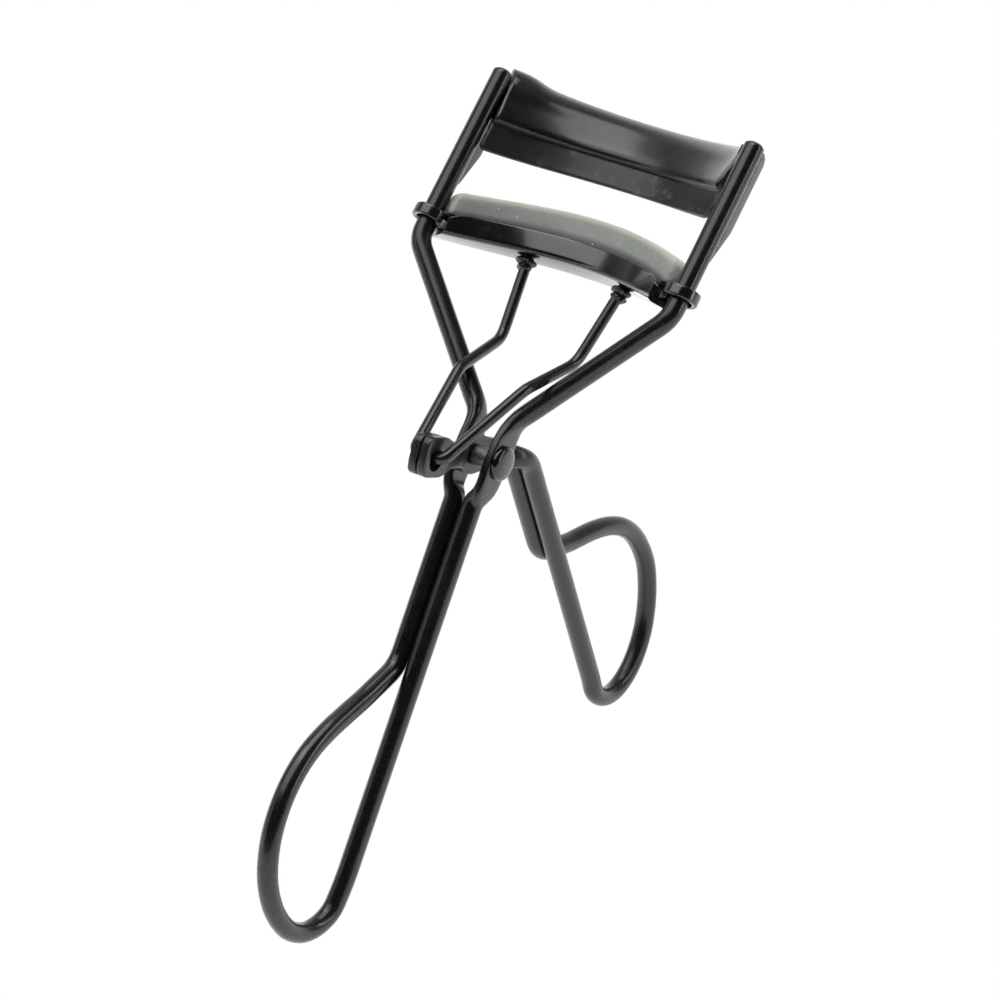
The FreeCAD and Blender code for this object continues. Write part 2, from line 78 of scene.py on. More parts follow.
# ---------------------------------------------------------------- paths and sections
def unit(v):
    v = np.asarray(v, float)
    return v / max(1e-12, np.linalg.norm(v))


def mirrored(points):
    """Points, or rows that start with x, reflected to the other side."""
    points = np.array(points, float)
    points[..., 0] *= -1
    return points


def at_height(start, direction, z):
    """Point at height z on the line through start."""
    return start + direction * ((z - start[2]) / direction[2])


def lengths(path):
    """Distance along the path to each of its points."""
    return np.r_[0, np.cumsum(np.linalg.norm(np.diff(path, axis=0), axis=1))]


def tangents(path):
    slope = np.gradient(path, axis=0)
    return slope / np.linalg.norm(slope, axis=1)[:, None]


def interp_rows(at, stations, rows):
    return np.stack([np.interp(at, stations, column) for column in rows.T], 1)


def resample(path, count):
    along = lengths(path)
    return interp_rows(np.linspace(0, along[-1], count), along, path)


def even(path, step=0.3):
    """Path resampled at an even step, repeated points dropped."""
    path = path[np.r_[True, np.linalg.norm(np.diff(path, axis=0), axis=1) > 1e-6]]
    return resample(path, max(2, int(lengths(path)[-1] / step) + 1))


def soft(rows, sigma):
    """Gaussian smoothing along the rows (sigma in samples), ends held."""
    reach = int(3 * sigma + 1)
    kernel = np.exp(-0.5 * (np.arange(-reach, reach + 1) / sigma) ** 2)
    kernel /= kernel.sum()
    lead = rows[0] + (rows[0] - rows[1:reach + 1][::-1])
    tail = rows[-1] + (rows[-1] - rows[-reach - 1:-1][::-1])
    padded = np.vstack([lead, rows, tail])
    return np.stack([np.convolve(column, kernel, "valid") for column in padded.T], 1)


def hermite(points, step=0.3, start_dir=None, end_dir=None):
    """Smooth curve through the points, sampled about every step."""
    p = np.asarray(points, float)
    along = lengths(p)
    slope = np.zeros_like(p)
    for i in range(1, len(p) - 1):
        before, after = along[i] - along[i - 1], along[i + 1] - along[i]
        slope[i] = ((p[i] - p[i - 1]) / before * after
                    + (p[i + 1] - p[i]) / after * before) / (before + after)
    slope[0] = (p[1] - p[0]) / along[1] if start_dir is None else unit(start_dir)
    slope[-1] = (p[-1] - p[-2]) / (along[-1] - along[-2]) if end_dir is None else unit(end_dir)
    out = []
    for i in range(len(p) - 1):
        span = along[i + 1] - along[i]
        for u in np.linspace(0, 1, max(2, int(span / step)), endpoint=False):
            out.append((2 * u ** 3 - 3 * u ** 2 + 1) * p[i]
                       + (u ** 3 - 2 * u ** 2 + u) * span * slope[i]
                       + (-2 * u ** 3 + 3 * u ** 2) * p[i + 1]
                       + (u ** 3 - u ** 2) * span * slope[i + 1])
    out.append(p[-1])
    return np.array(out)


def bent(corners, radii, step=0.3):
    """Straight runs joined by arcs, one radius for each inner corner."""
    corners = np.asarray(corners, float)
    out = [corners[0]]
    for before, corner, after, radius in zip(corners, corners[1:], corners[2:], radii):
        back, onward = unit(before - corner), unit(after - corner)
        angle = math.acos(max(-1, min(1, float(back @ onward))))
        cut = radius / math.tan(angle / 2)
        centre = corner + unit(back + onward) * (radius / math.sin(angle / 2))
        first = unit(corner + back * cut - centre)
        last = unit(corner + onward * cut - centre)
        sweep = math.acos(max(-1, min(1, float(first @ last))))
        count = max(3, int(radius * sweep / step))
        for u in np.linspace(0, 1, count + 1):
            out.append(centre + radius * (math.sin((1 - u) * sweep) * first
                                          + math.sin(u * sweep) * last) / math.sin(sweep))
    out.append(corners[-1])
    return np.array(out)


def superellipse(half_u, half_v, exponent, count):
    angle = np.linspace(0, 2 * np.pi, count, endpoint=False) + np.pi / count
    c, s = np.cos(angle), np.sin(angle)
    return np.stack([half_u * np.sign(c) * np.abs(c) ** (2.0 / exponent),
                     half_v * np.sign(s) * np.abs(s) ** (2.0 / exponent)], 1)


def round_off(distance, radius):
    """How far a rounded edge falls back at this distance in from the end."""
    if distance >= radius:
        return 0.0
    return radius - math.sqrt(max(0, radius ** 2 - (radius - distance) ** 2))


def rounded_poly(points, radii, count):
    """Closed polygon with each corner rounded by its radius, count points a corner."""
    points = np.asarray(points, float)
    radii = np.broadcast_to(radii, len(points))
    out = []
    for before, corner, after, radius in zip(np.roll(points, 1, 0), points,
                                             np.roll(points, -1, 0), radii):
        back, onward = before - corner, after - corner
        back_len, onward_len = np.linalg.norm(back), np.linalg.norm(onward)
        cut = min(radius, back_len * 0.45, onward_len * 0.45)
        start = corner + back / back_len * cut
        end = corner + onward / onward_len * cut
        for u in np.linspace(0, 1, count):
            out.append((1 - u) ** 2 * start + 2 * u * (1 - u) * corner + u * u * end)
    return np.array(out)


def cross_axes(tangent):
    """Section axes of a wire: one as near X as possible, one square to it."""
    u = unit(vec(1, 0, 0) - tangent * tangent[0])
    return u, np.cross(tangent, u)


# ------------------------------------------------------------------------ mesh helpers
def publish(name, mesh, material, body, node=None, sharp=None):
    obj = bpy.data.objects.new(name, mesh)
    bpy.context.scene.collection.objects.link(obj)
    mesh.materials.append(material)
    mesh.shade_smooth()
    if sharp is not None:
        mesh.set_sharp_from_angle(angle=math.radians(sharp))
    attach(obj, body)
    if node:
        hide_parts(node)
    return obj


def add_skin(name, rings, material, body, node=None, closed=False, sharp=None):
    """Skin equal rings of CAD points. closed joins last to first, else ends are capped."""
    rings = np.asarray(rings)
    if closed:
        rings = np.concatenate([rings, rings[:1]])
    rows, count = rings.shape[:2]
    verts = rings.reshape(-1, 3).tolist()
    faces = []
    for i in range(rows - 1):
        for j in range(count):
            k = (j + 1) % count
            faces.append((i * count + j, i * count + k,
                          (i + 1) * count + k, (i + 1) * count + j))
    if not closed:
        for i in (0, rows - 1):
            middle = len(verts)
            verts.append(rings[i].mean(0).tolist())
            faces += [(middle, i * count + j, i * count + (j + 1) % count)
                      for j in range(count)]
    mesh = bpy.data.meshes.new(name)
    mesh.from_pydata(verts, [], faces)
    mesh.validate()
    bm = bmesh.new()
    bm.from_mesh(mesh)
    bmesh.ops.remove_doubles(bm, verts=bm.verts, dist=1e-7)
    bmesh.ops.recalc_face_normals(bm, faces=bm.faces)
    bm.to_mesh(mesh)
    bm.free()
    return publish(name, mesh, material, body, node, sharp)


def add_turned(name, profile, material, node, closed=False, sharp=None):
    """Profile of (x, radius) turned about X through the hinge."""
    angle = np.linspace(0, 2 * np.pi, 64, endpoint=False)
    rings = [to_cad(np.stack([np.full(64, x), HINGE[1] + radius * np.cos(angle),
                              HINGE[2] + radius * np.sin(angle)], 1))
             for x, radius in profile]
    add_skin(name, rings, material, "frame", node, closed, sharp)


def add_plate(name, outline, start, end, material, body, bevel, node):
    """Flat outline extruded from offset start to offset end, all edges bevelled."""
    outline = np.asarray(outline, float)
    n = len(outline)
    verts = to_cad(np.vstack([outline + start, outline + end])).tolist()
    faces = [tuple(range(n))[::-1], tuple(range(n, 2 * n))]
    faces += [(i, (i + 1) % n, n + (i + 1) % n, n + i) for i in range(n)]
    mesh = bpy.data.meshes.new(name)
    mesh.from_pydata(verts, [], faces)
    bm = bmesh.new()
    bm.from_mesh(mesh)
    bmesh.ops.recalc_face_normals(bm, faces=bm.faces)
    bmesh.ops.bevel(bm, geom=list(bm.edges), offset=bevel * 0.001, segments=3,
                    profile=0.6, affect="EDGES", clamp_overlap=True)
    bm.to_mesh(mesh)
    bm.free()
    publish(name, mesh, material, body, node, sharp=35)


def add_lump(name, centre, size, material, body, seed, amp, freq, segments=40):
    """Ellipsoid of half-sizes size, broken up by two octaves of smooth noise."""
    rows = segments // 2
    rings = []
    for i in range(1, rows):
        polar = math.pi * i / rows
        ring = []
        for j in range(segments):
            turn = 2 * math.pi * j / segments
            q = size * vec(math.sin(polar) * math.cos(turn),
                           math.sin(polar) * math.sin(turn), math.cos(polar))
            swell = (1 + amp * noise.noise(Vector(q * freq + seed * 7.3))
                     + amp * 0.5 * noise.noise(Vector(q * freq * 2.3 + seed * 3.1)))
            ring.append(to_cad(centre + q * swell))
        rings.append(ring)
    add_skin(name, rings, material, body)


# --------------------------------------------------------------------------- materials
def rgba(value):
    """Grey number or RGB tuple to RGBA; a socket passes through."""
    if isinstance(value, (int, float)):
        return (value, value, value, 1)
    return (*value, 1) if isinstance(value, tuple) else value


class Nodes:
    """Short calls for building one node tree from empty."""

    def __init__(self, owner):
        owner.use_nodes = True
        self.tree = owner.node_tree
        self.tree.nodes.clear()

    def add(self, kind):
        return self.tree.nodes.new("ShaderNode" + kind)

    def feed(self, target, value):
        if isinstance(value, bpy.types.NodeSocket):
            self.tree.links.new(value, target)
        else:
            target.default_value = value

    def texture(self, kind, vector, **inputs):
        node = self.add("Tex" + kind)
        for name, value in inputs.items():
            node.inputs[name.capitalize()].default_value = value
        self.feed(node.inputs["Vector"], vector)
        return node.outputs[0]

    def math(self, operation, a, b):
        node = self.add("Math")
        node.operation = operation
        self.feed(node.inputs[0], a)
        self.feed(node.inputs[1], b)
        return node.outputs[0]

    def times(self, a, b):
        return self.math("MULTIPLY", a, b)

    def ramp(self, factor, *stops):
        """stops: (position, grey or RGB)."""
        node = self.add("ValToRGB")
        self.feed(node.inputs[0], factor)
        elements = node.color_ramp.elements
        for element, (position, colour) in zip(elements, (stops[0], stops[-1])):
            element.position = position
            element.color = rgba(colour)
        for position, colour in stops[1:-1]:
            elements.new(position).color = rgba(colour)
        return node.outputs[0]

    def mix(self, factor, a, b):
        node = self.add("Mix")
        node.data_type = "RGBA"
        for index, value in ((0, factor), (6, rgba(a)), (7, rgba(b))):
            self.feed(node.inputs[index], value)
        return node.outputs[2]

    def bump(self, height, distance):
        """distance: metres."""
        node = self.add("Bump")
        node.inputs["Distance"].default_value = distance
        self.feed(node.inputs["Height"], height)
        return node.outputs[0]


class Surface(Nodes):
    """Material with one Principled shader."""

    def __init__(self, name):
        self.material = bpy.data.materials.new(name)
        super().__init__(self.material)
        output = self.add("OutputMaterial")
        self.shader = self.add("BsdfPrincipled")
        self.feed(output.inputs[0], self.shader.outputs[0])

    def position(self):
        return self.add("TexCoord").outputs["Object"]

    def set(self, **inputs):
        """Principled inputs by name, underscores for spaces."""
        for name, value in inputs.items():
            self.feed(self.shader.inputs[name.replace("_", " ")], value)


def lacquer(name, base, rough, coat, warm=0.0, wear=0.5, worn=0.0, haze=0.0):
    """Glossy black lacquer: orange peel, dust specks, rubbed edges, optional painted rim
    reflection.

    base: grey level; rough: (low, high) roughness; warm: takes blue from the lighter
    tone; wear: edge rub; worn: pale patches; haze: strength of a painted pale rim reflection
    at shallow angles.
    """
    s = Surface(name)
    position = s.position()
    big = s.texture("Noise", position, scale=120.0, detail=4.0, roughness=0.6)
    mid = s.texture("Noise", position, scale=850.0, detail=3.0, roughness=0.55)
    fine = s.texture("Noise", position, scale=5200.0, detail=2.0, roughness=0.6)
    colour = s.ramp(big, (0.30, (base * 0.7, base * 0.7, base * 0.72)),
                    (0.72, (base * 1.5, base * 1.48, base * (1.42 - warm))))
    # sparse pale dust: small dots at cell centres, kept only in some regions
    cells = s.texture("Voronoi", position, scale=620.0, randomness=1.0)
    dots = s.math("LESS_THAN", cells, 0.045)
    regions = s.texture("Noise", position, scale=260.0, detail=1.0)
    speck = s.times(dots, s.math("GREATER_THAN", regions, 0.60))
    colour = s.mix(s.times(speck, 0.30), colour, 0.22)
    # convex edges rubbed grey, broken up by the middle noise
    edge = s.ramp(s.add("NewGeometry").outputs["Pointiness"], (0.53, 0), (0.62, 1))
    rub = s.times(edge, s.math("GREATER_THAN", mid, 0.50))
    colour = s.mix(s.times(rub, 0.22 * wear), colour, 0.16)
    if worn > 0:
        patch = s.texture("Noise", position, scale=330.0, detail=6.0, roughness=0.72)
        colour = s.mix(s.times(s.ramp(patch, (0.56, 0), (0.66, 1)), worn), colour, 0.11)
    # painted reflection: at shallow angles the colour is blended to pale grey, standing in for
    # the bright rim the glossy panel reflects
    if haze > 0:
        facing = s.add("LayerWeight")
        facing.inputs["Blend"].default_value = 0.5
        painted_rim_reflection = s.ramp(facing.outputs["Facing"], (0.55, 0), (0.82, 0.35), (1.0, 1))
        colour = s.mix(s.times(painted_rim_reflection, haze), colour, (0.62, 0.62, 0.60))
    s.set(Base_Color=colour)
    # roughness: fine variation, dull dust, then broad smears
    low, high = rough
    gloss = s.ramp(mid, (0.32, low), (0.70, high))
    gloss = s.mix(s.times(speck, 1.0), gloss, 0.7)
    smear = s.ramp(big, (0.45, 0), (0.75, 1))
    gloss = s.mix(s.times(smear, 0.25), gloss, high + 0.14)
    s.set(Roughness=gloss, Coat_Weight=coat, Coat_Roughness=0.12)
    # relief: orange peel, fine grain and raised dust
    height = s.math("ADD", s.times(mid, 1.0), s.times(fine, 0.05))
    height = s.math("ADD", height, s.times(speck, 0.8))
    normal = s.bump(height, distance=0.00000081)
    s.set(Normal=normal, Coat_Normal=normal)
    return s.material


def weld_metal(name):
    """Rough weld under black lacquer."""
    s = Surface(name)
    grain = s.texture("Noise", s.position(), scale=900.0, detail=6.0, roughness=0.7)
    s.set(Base_Color=s.ramp(grain, (0.35, 0.006), (0.62, 0.014), (0.74, 0.06)))
    s.set(Roughness=s.ramp(grain, (0.3, 0.28), (0.7, 0.62)))
    s.set(Normal=s.bump(grain, distance=0.00006))
    return s.material


def grey_steel(name):
    """Turned grey steel: fine rings round X over a mottled grey."""
    s = Surface(name)
    position = s.position()
    split = s.add("SeparateXYZ")
    s.feed(split.inputs[0], position)
    along_x = s.add("CombineXYZ")
    s.feed(along_x.inputs[0], s.times(split.outputs[0], 40.0))    # squeezes noise into rings
    lathe = s.texture("Noise", along_x.outputs[0], scale=260.0, detail=3.0)
    mottle = s.texture("Noise", position, scale=1500.0, detail=3.0)
    ring_tone = s.ramp(lathe, (0.3, 0.10), (0.7, 0.20))
    colour = s.mix(0.4, ring_tone, s.ramp(mottle, (0.35, 0.05), (0.7, 0.2)))
    s.set(Base_Color=colour, Metallic=0.6)
    s.set(Roughness=s.ramp(mottle, (0.3, 0.34), (0.7, 0.55)))
    s.set(Normal=s.bump(lathe, distance=0.00001))
    return s.material


def silicone(name):
    """Translucent grey silicone: haze, white specks, painted warm light on the crest, painted
    shade at the foot.
    """
    s = Surface(name)
    position = s.position()
    cloud = s.texture("Noise", position, scale=95.0, detail=4.0, roughness=0.6)
    grain = s.texture("Noise", position, scale=1400.0, detail=5.0, roughness=0.65)
    crest = s.add("Attribute")
    crest.attribute_name = "crest"        # height share, written by build_pad
    height_share = crest.outputs["Fac"]
    haze = s.ramp(cloud, (0.30, (0.205, 0.222, 0.200)), (0.72, (0.315, 0.335, 0.305)))
    colour = s.mix(0.16, haze, s.ramp(grain, (0.35, 0.16), (0.7, 0.48)))
    # painted highlight: the top of the crest is blended to a pale warm tone, as where light
    # catches it
    painted_crest_light = s.ramp(height_share, (0.80, 0), (0.97, 1))
    colour = s.mix(s.times(painted_crest_light, 0.75), colour, (0.72, 0.70, 0.58))
    # painted shade: the foot of the pad, down in the channel, is darkened nearly to black
    foot = s.ramp(height_share, (0.36, 1), (0.50, 0))
    colour = s.mix(s.times(foot, 0.75), colour, 0.02)
    # white specks, kept only in some regions
    cells = s.texture("Voronoi", position, scale=900.0, randomness=1.0)
    regions = s.texture("Noise", position, scale=180.0, detail=2.0)
    speck = s.times(s.math("LESS_THAN", cells, 0.12), s.math("GREATER_THAN", regions, 0.50))
    s.set(Base_Color=s.mix(s.times(speck, 0.7), colour, 0.70))
    s.set(Roughness=s.ramp(grain, (0.3, 0.42), (0.7, 0.60)), Subsurface_Weight=0.35,
          Subsurface_Radius=(1.0, 0.95, 0.8), Subsurface_Scale=0.0012,
          Sheen_Weight=0.12, Sheen_Roughness=0.4)
    height = s.math("ADD", grain, s.times(speck, 0.7))
    s.set(Normal=s.bump(height, distance=0.00002))
    return s.material


FRAME_LACQUER = lacquer("black_lacquer_frame", base=0.0052, rough=(0.22, 0.31), coat=0.25,
                        warm=0.10, wear=0.08)
HANDLE_LACQUER = lacquer("black_lacquer_handle", base=0.0062, rough=(0.27, 0.37), coat=0.22,
                         warm=0.10, wear=0.08)
# haze here is the painted pale rim reflection on the jaw panel
JAW_LACQUER = lacquer("black_lacquer_jaw", base=0.0050, rough=(0.27, 0.34), coat=0.16,
                      worn=0.08, haze=0.75)
LIP_LACQUER = lacquer("black_lacquer_lip", base=0.0110, rough=(0.34, 0.48), coat=0.15,
                      worn=0.60, wear=1.0)
CHANNEL_LACQUER = lacquer("black_lacquer_channel", base=0.0050, rough=(0.17, 0.25), coat=0.7,
                          worn=0.12)
ROD_LACQUER = lacquer("black_lacquer_rod", base=0.0055, rough=(0.22, 0.34), coat=0.25,
                      worn=0.1)
RIVET_LACQUER = lacquer("black_lacquer_rivet", base=0.0040, rough=(0.12, 0.20), coat=0.4)
WELD = weld_metal("weld_lacquer")
STEEL = grey_steel("spacer_grey_steel")
SILICONE = silicone("silicone_pad")

# ------------------------------------------------------------------ frame, one wire
# Section columns, here and below: half-size near X, half-size across it, exponent.
ROUND = (1.25, 1.25, 2.0)
RAIL_CORNERS = [(RAIL_X, 0, 20.5), (RAIL_X, 0, -3.2), (3.35, 4.72, -19.0)]
# flattened ear round the rivet: x, y, z, then section
EAR = np.array([
    (2.62, 5.04, -20.25, 0.95, 1.60, 2.5),
    (2.34, 5.32, -21.6, 0.64, 2.04, 4.6),
    (2.30, 5.52, -22.8, 0.60, 2.22, 6.0),
    (2.30, 5.80, -24.8, 0.60, 2.25, 6.5),
    (2.30, 6.05, -26.6, 0.60, 2.14, 6.0),
    (2.28, 6.32, -28.2, 0.60, 1.96, 5.5),
    (2.08, 6.46, -29.0, 0.74, 1.76, 3.6),
    (1.54, 6.64, -29.8, 1.14, 1.42, 2.3),
    (1.33, 6.78, -30.4, 1.25, 1.26, 2.0)])
STEM_DIR = unit([0, 12.3, -44.9])
STEM_TOP = vec(STEM_X, 6.98, -31.2)
STEM_FOOT_Z = -74.6             # right stem turns into the loop
STEM_JOIN_Z = -50.86            # the loop's return meets the left stem
FRAME_LOOP = [                  # x, y, z after the stem's foot
    (1.27, 19.55, -77.6), (1.18, 19.85, -79.9), (1.00, 18.95, -82.1), (0.78, 17.1, -83.8),
    (0.52, 14.4, -84.6), (0.24, 11.2, -84.2), (0.02, 8.2, -82.95), (-0.16, 5.65, -81.1),
    (-0.30, 3.75, -78.9), (-0.44, 2.42, -76.5), (-0.58, 1.65, -73.9), (-0.72, 1.38, -71.2),
    (-0.86, 1.66, -68.4), (-0.98, 2.55, -65.5), (-1.08, 4.1, -62.7), (-1.17, 6.4, -59.5)]
FRAME_LOOP_END = vec(-1.25, 8.9, -56.15)


def stations_along(path, points):
    """Index on the path of each point, in order, at its first close pass."""
    found, last = [], 0
    for point in points:
        distance = np.linalg.norm(path[last:] - point, axis=1)
        near = np.where(distance < 1.6)[0]
        if not len(near):
            near = np.arange(len(distance))
        else:
            gaps = np.where(np.diff(near) > 3)[0]
            if len(gaps):
                near = near[:gaps[0] + 1]
        last += int(near[np.argmin(distance[near])])
        found.append(last)
    return found


def build_frame():
    end_radius = 0.35
    foot = at_height(STEM_TOP, STEM_DIR, STEM_FOOT_Z)
    join = mirrored(at_height(STEM_TOP, STEM_DIR, STEM_JOIN_Z))
    rail = bent(RAIL_CORNERS, [3.6])
    ear = hermite([RAIL_CORNERS[2], *EAR[:, :3], STEM_TOP],
                  start_dir=np.subtract(RAIL_CORNERS[2], RAIL_CORNERS[1]), end_dir=STEM_DIR)
    loop = hermite([foot, *FRAME_LOOP, FRAME_LOOP_END],
                   start_dir=STEM_DIR, end_dir=join - FRAME_LOOP_END)
    left_stem = bent([FRAME_LOOP_END, join, mirrored(STEM_TOP)], [4.0])
    path = np.vstack([rail, ear, loop, left_stem, mirrored(ear[::-1]), mirrored(rail[::-1])])
    path = soft(even(path), 1.1)

    right = np.vstack([(*RAIL_CORNERS[0], *ROUND), (3.72, 4.60, -18.6, *ROUND), EAR,
                       (*STEM_TOP, *ROUND), (*foot, *ROUND)])
    keys = np.vstack([right, mirrored(right[:-1])[::-1]])
    along = lengths(path)
    stations = along[stations_along(path, keys[:, :3])]
    sections = soft(interp_rows(along, stations, keys[:, 3:]), 1.2)
    rings = []
    for i, tangent in enumerate(tangents(path)):
        u, v = cross_axes(tangent)
        half_u, half_v, exponent = sections[i]
        to_end = min(along[i], along[-1] - along[i])
        scale = 1 - round_off(to_end, end_radius) / max(half_u, half_v)
        q = superellipse(half_u * scale, half_v * scale, exponent, 40)
        rings.append(to_cad(path[i] + q[:, :1] * u + q[:, 1:] * v))
    add_skin("frame_wire_skin", rings, FRAME_LACQUER, "frame", "frame_wire")


build_frame()

# --------------------------------------------------------- squeeze handle, one wire
ARM_TILT = math.radians(23.8)
ARM_DIR = vec(0, -math.cos(ARM_TILT), -math.sin(ARM_TILT))     # hinge to free strap ends
ARM_UP = vec(0, -math.sin(ARM_TILT), math.cos(ARM_TILT))
ARM_LENGTH = 13.3
STRAP_LEFT = -1.66              # left face of the left strap
STRAP_SEAM = 0.05               # gap between the straps
STRAP_AT_HINGE = 0.45           # strap thickness
STRAP_AT_END = 1.20
HOOK = HINGE + ARM_DIR * 11.15  # where the rods pass through the straps
HOOK_HOLE = HINGE + ARM_DIR * 11.10 + ARM_UP * -0.3
HOOK_HOLE_R = 1.35

GRIP_DIR = unit([0, 35.56, -13.38])
GRIP_TOP = vec(STEM_X, 18.6, -22.85)
GRIP_FOOT = GRIP_TOP + GRIP_DIR * 37.2      # right stem turns into the loop
SHOULDER_Z = -21.39
GRIP_LOOP = [                   # x, y, z after the foot
    (1.29, 56.0, -37.0), (1.22, 58.9, -36.7), (1.08, 61.1, -35.3), (0.94, 62.5, -33.2),
    (0.80, 63.15, -30.7), (0.64, 63.0, -28.0), (0.47, 62.2, -25.4), (0.30, 60.7, -22.95),
    (0.13, 58.6, -20.65), (-0.06, 55.8, -18.6), (-0.28, 52.5, -17.4), (-0.48, 49.2, -17.0),
    (-0.66, 46.3, -17.45), (-0.83, 43.6, -18.6), (-0.97, 41.0, -20.3), (-1.09, 38.6, -22.3)]
GRIP_LOOP_END = vec(-1.19, 36.4, -24.2)
# from strap to stem: share of the way out to the stem's x, then y, z
SPREAD = [(0, 8.30, -23.75), (0.14, 9.50, -23.12), (0.50, 10.80, -22.42),
          (0.88, 12.10, -21.83), (1, 13.20, -21.50), (1, 13.95, -21.40)]
# distance from the nearer wire end, then section
HANDLE_SECTIONS = np.array([
    (0.0, 0.60, 2.45, 9.0), (4.1, 0.60, 2.45, 9.0), (5.0, 0.60, 2.10, 7.0),
    (6.0, 0.56, 1.52, 4.0), (8.6, 0.50, 1.42, 3.4), (10.0, 0.42, 1.50, 4.0),
    (10.9, 0.30, 1.75, 6.0), (11.5, 0.225, 2.15, 7.0), (12.4, 0.225, 2.45, 7.0),
    (13.3, 0.225, 2.56, 7.0), (14.2, 0.225, 2.45, 7.0), (15.1, 0.225, 2.20, 6.0),
    (15.9, 0.30, 2.10, 5.0), (17.2, 0.42, 1.98, 3.6), (18.7, 0.66, 1.68, 2.7),
    (20.2, 1.00, 1.42, 2.25), (21.4, 1.20, 1.29, 2.05), (22.3, *ROUND), (400, *ROUND)])


def strap_x(sign, distance):
    """Centre x of a strap at a distance from the hinge along the arm."""
    thickness = float(np.interp(distance, [2.2, 3.4, 4.8, 7.3, 8.3],
                                [STRAP_AT_HINGE, 0.84, 1.0, 1.12, STRAP_AT_END]))
    if sign < 0:
        return STRAP_LEFT + thickness / 2
    return STRAP_LEFT + STRAP_SEAM + 1.5 * thickness


def strap_path(sign):
    """From the free strap end, past the hinge, to the start of the stem."""
    arm = [HINGE + ARM_DIR * d + vec(strap_x(sign, d), 0, 0)
           for d in np.arange(ARM_LENGTH, -1.6, -0.3)]
    inner = strap_x(sign, 0)
    outward = sign * STEM_X - inner
    spread = hermite([arm[-1]] + [(inner + outward * share, y, z) for share, y, z in SPREAD],
                     start_dir=-ARM_DIR, end_dir=(0, 1, 0))
    return np.vstack([arm, spread[1:]])


def cut_hook_hole(obj):
    """Round hole along X through both straps."""
    bm = bmesh.new()
    bmesh.ops.create_cone(bm, cap_ends=True, segments=40, radius1=HOOK_HOLE_R * 0.001,
                          radius2=HOOK_HOLE_R * 0.001, depth=0.008)
    mesh = bpy.data.meshes.new("cut")
    bm.to_mesh(mesh)
    bm.free()
    cutter = bpy.data.objects.new("cut", mesh)
    bpy.context.scene.collection.objects.link(cutter)
    cutter.matrix_world = (Matrix.Translation(Vector(to_cad(HOOK_HOLE)))
                           @ Matrix.Rotation(math.pi / 2, 4, "Y"))
    modifier = obj.modifiers.new("hole", "BOOLEAN")
    modifier.object = cutter
    modifier.solver = "EXACT"
    modifier.operation = "DIFFERENCE"
    bpy.context.view_layer.update()
    evaluated = obj.evaluated_get(bpy.context.evaluated_depsgraph_get())
    holed = bpy.data.meshes.new_from_object(evaluated)
    obj.modifiers.clear()
    obj.data = holed
    holed.set_sharp_from_angle(angle=math.radians(50))
    bpy.data.objects.remove(cutter)


def build_squeeze_handle():
    shoulder = at_height(GRIP_FOOT, GRIP_DIR, SHOULDER_Z)
    join = mirrored(GRIP_TOP + GRIP_DIR * 13.8)
    right, left = strap_path(1), strap_path(-1)
    right_stem = bent([right[-1], shoulder, GRIP_FOOT], [3.2])
    loop = hermite([GRIP_FOOT, *GRIP_LOOP, GRIP_LOOP_END],
                   start_dir=GRIP_DIR, end_dir=join - GRIP_LOOP_END)
    left_stem = bent([GRIP_LOOP_END, join, mirrored(shoulder), (-STEM_X, 14.05, SHOULDER_Z)],
                     [4.0, 3.2])
    path = even(np.vstack([right, right_stem[1:], loop[1:], left_stem[1:], left[::-1]]))
    along = lengths(path)
    to_end = np.minimum(along, along[-1] - along)
    # smoothing fades in beyond the straps
    share = np.clip((to_end - 17.0) / 3.0, 0, 1)[:, None]
    path = path * (1 - share) + soft(path, 2.0) * share

    sections = soft(interp_rows(to_end, HANDLE_SECTIONS[:, 0], HANDLE_SECTIONS[:, 1:]), 1.6)
    rings = []
    for i, tangent in enumerate(tangents(path)):
        u, v = cross_axes(tangent)
        half_u, half_v, exponent = sections[i]
        q = superellipse(half_u, half_v, exponent, 44)
        # free ends: rounded upper and lower corners, slightly thinned
        low = -half_v + round_off(to_end[i], 1.3)
        high = half_v - round_off(to_end[i], 0.9)
        if v[2] < 0:
            low, high = -high, -low
        thin = 1 - 0.16 * max(0, (0.3 - to_end[i]) / 0.3)
        across = low + (q[:, 1] + half_v) / (2 * half_v) * (high - low)
        rings.append(to_cad(path[i] + (q[:, :1] * thin) * u + across[:, None] * v))
    obj = add_skin("squeeze_wire_skin", rings, HANDLE_LACQUER, "squeeze_handle",
                   "squeeze_handle_wire")
    cut_hook_hole(obj)


build_squeeze_handle()

# --------------------------------------------------------------- rivet and spacer
HEAD_SEAT = 2.91                # |x| where each rivet head starts
SHANK_HALF, SHANK_R = 2.89, 1.05


def rivet_head(radius, height, land):
    """(x, radius) outwards from the seat: short land, rolled shoulder, low dome."""
    out = [(HEAD_SEAT, radius - 0.12), (HEAD_SEAT + 0.04, radius - 0.02),
           (HEAD_SEAT + land * 0.5, radius), (HEAD_SEAT + land * 0.85, radius - 0.02),
           (HEAD_SEAT + land, radius - 0.06)]
    steps = 16
    for i in range(1, steps + 1):
        angle = math.pi / 2 * i / steps
        out.append((HEAD_SEAT + land + (height - land) * math.sin(angle),
                    (radius - 0.08) * math.cos(angle) ** 0.80 if i < steps else 0.02))
    return out


